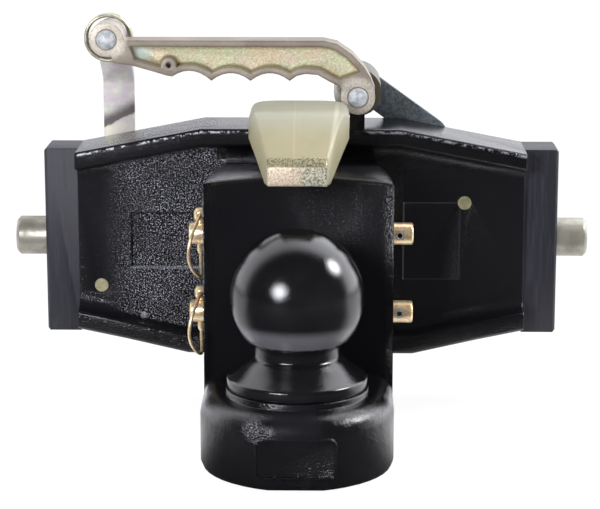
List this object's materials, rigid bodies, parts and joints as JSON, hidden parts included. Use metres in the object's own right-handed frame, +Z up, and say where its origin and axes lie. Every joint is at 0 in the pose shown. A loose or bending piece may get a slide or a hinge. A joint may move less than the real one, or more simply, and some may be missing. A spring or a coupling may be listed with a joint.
{
  "type": "tractor ball coupling",
  "caption": "Ladder-mounted tractor ball coupling with an 80 mm ball, a pinned hold-down and a handle that draws both locking pins.",
  "frame": {"origin": "on the ball's axis, at the flat foot of the ball stud, level with the casting's underside", "axes": "+X across the tractor to the right seen from the trailer, +Y towards the tractor, +Z up along the ball's axis"},
  "size_m": [0.37, 0.2209, 0.2579],
  "materials": {
    "casting_paint": "gloss black paint over a grainy casting, bare machined grey at the guides",
    "ball_paint": "smooth gloss black",
    "pin_steel": "satin turned steel",
    "bright_steel": "bright steel",
    "cream_zinc": "pale yellow zinc over a grainy casting",
    "yellow_zinc": "yellow iridescent zinc over a casting",
    "yellow_zinc_steel": "yellow iridescent zinc on smooth steel",
    "silver_zinc": "silver zinc with a faint iridescence",
    "blue_zinc": "mottled blue-grey zinc"
  },
  "bodies": {
    "carriage": {"carrier_casting": "casting_paint", "ball_stud": "ball_paint", "stud_washer": "bright_steel", "stud_nut": "bright_steel", "hold_down": "cream_zinc", "lock_pin": "bright_steel", "pivot_pin": "bright_steel", "lock_roll_pin": "bright_steel", "pivot_roll_pin": "bright_steel", "lock_linch_pin": "yellow_zinc_steel", "pivot_linch_pin": "yellow_zinc_steel", "left_pin_spring": "bright_steel", "right_pin_spring": "bright_steel", "left_lever_pin": "silver_zinc", "left_lever_washer": "silver_zinc", "left_lever_clip": "bright_steel", "right_lever_pin": "silver_zinc", "right_lever_washer": "silver_zinc", "right_lever_clip": "bright_steel"},
    "left_lever_body": {"left_lever": "silver_zinc"},
    "right_lever_body": {"right_lever": "blue_zinc", "right_drive_stud": "bright_steel"},
    "handle_body": {"handle": "yellow_zinc", "handle_bush": "bright_steel", "torsion_spring": "yellow_zinc_steel", "left_handle_pin": "yellow_zinc_steel", "left_handle_washer": "yellow_zinc_steel", "left_handle_clip": "bright_steel", "right_handle_pin": "yellow_zinc_steel", "right_handle_washer": "yellow_zinc_steel", "right_hub_washer": "yellow_zinc_steel", "right_handle_clip": "bright_steel"},
    "left_pin_body": {"left_locking_pin": "pin_steel", "left_drive_stud": "bright_steel"},
    "right_pin_body": {"right_locking_pin": "pin_steel", "right_drive_fork": "bright_steel"},
    "lock_ring_body": {"lock_linch_ring": "yellow_zinc_steel"},
    "pivot_ring_body": {"pivot_linch_ring": "yellow_zinc_steel"}
  },
  "joints": [
    {"name": "left_lever_turn", "type": "hinge", "parent": "carriage", "child": "left_lever_body", "pos_m": [-0.129, 0.1555, 0.082], "axis": [0, 1, 0], "range_deg": [0, 28]},
    {"name": "right_lever_turn", "type": "hinge", "parent": "carriage", "child": "right_lever_body", "pos_m": [0.105, 0.1555, 0.137], "axis": [0, 1, 0], "range_deg": [0, 51.7]},
    {"name": "handle_turn", "type": "hinge", "parent": "left_lever_body", "child": "handle_body", "pos_m": [-0.1206, 0.115, 0.2442], "axis": [0, 1, 0], "range_deg": [-47.2, 0], "deforming": ["torsion_spring"]},
    {"name": "left_pin_slide", "type": "slide", "parent": "carriage", "child": "left_pin_body", "axis": [1, 0, 0], "range_m": [0, 0.02], "stiffness_N_per_m": 400, "springref_m": -0.02, "deforming": ["left_pin_spring"]},
    {"name": "right_pin_slide", "type": "slide", "parent": "carriage", "child": "right_pin_body", "axis": [-1, 0, 0], "range_m": [0, 0.02], "stiffness_N_per_m": 400, "springref_m": -0.02, "deforming": ["right_pin_spring"]},
    {"name": "lock_ring_turn", "type": "hinge", "parent": "carriage", "child": "lock_ring_body", "pos_m": [-0.062, 0.08, 0.1366], "axis": [0, 1, 0], "range_deg": [0, 110]},
    {"name": "pivot_ring_turn", "type": "hinge", "parent": "carriage", "child": "pivot_ring_body", "pos_m": [-0.062, 0.08, 0.0866], "axis": [0, 1, 0], "range_deg": [0, 110]}
  ],
  "couplings": [
    {"joint": "right_lever_turn", "follows": "left_lever_turn", "ratio": 1.845},
    {"joint": "handle_turn", "follows": "left_lever_turn", "ratio": -1.685},
    {"joint": "left_pin_slide", "follows": "left_lever_turn", "m_per_rad": 0.0409},
    {"joint": "right_pin_slide", "follows": "left_lever_turn", "m_per_rad": 0.0409}
  ]
}
